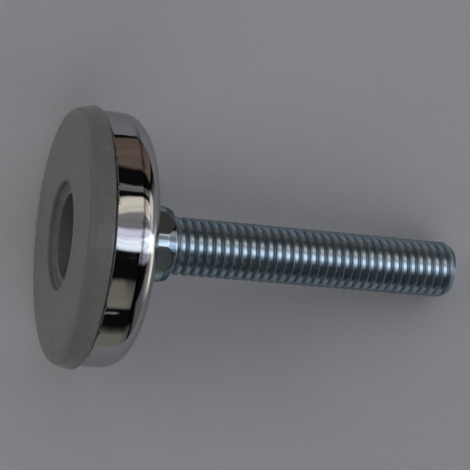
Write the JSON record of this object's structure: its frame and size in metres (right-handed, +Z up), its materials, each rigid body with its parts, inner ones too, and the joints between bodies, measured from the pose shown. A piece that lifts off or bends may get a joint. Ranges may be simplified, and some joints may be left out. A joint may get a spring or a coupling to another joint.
{
  "type": "leveling foot",
  "caption": "Rigid leveling foot: a grey moulded pad in a chrome-plated drawn cap, with a riveted, right-hand threaded stud and a hexagonal collar for setting its height.",
  "frame": {"origin": "centre of the pad's bottom face, on the stud's axis", "axes": "+Z up along the stud, from the pad to the stud's tip; the collar has a corner on +Y and on -Y"},
  "size_m": [0.0354, 0.0354, 0.0567],
  "materials": {
    "pad_plastic": "semi-matte moulded grey plastic",
    "cap_chrome": "bright chrome plate on drawn steel",
    "stud_zinc": "bright zinc plate, slightly blue"
  },
  "bodies": {
    "root": {"pad": "pad_plastic", "cap": "cap_chrome", "stud": "stud_zinc"}
  },
  "joints": []
}
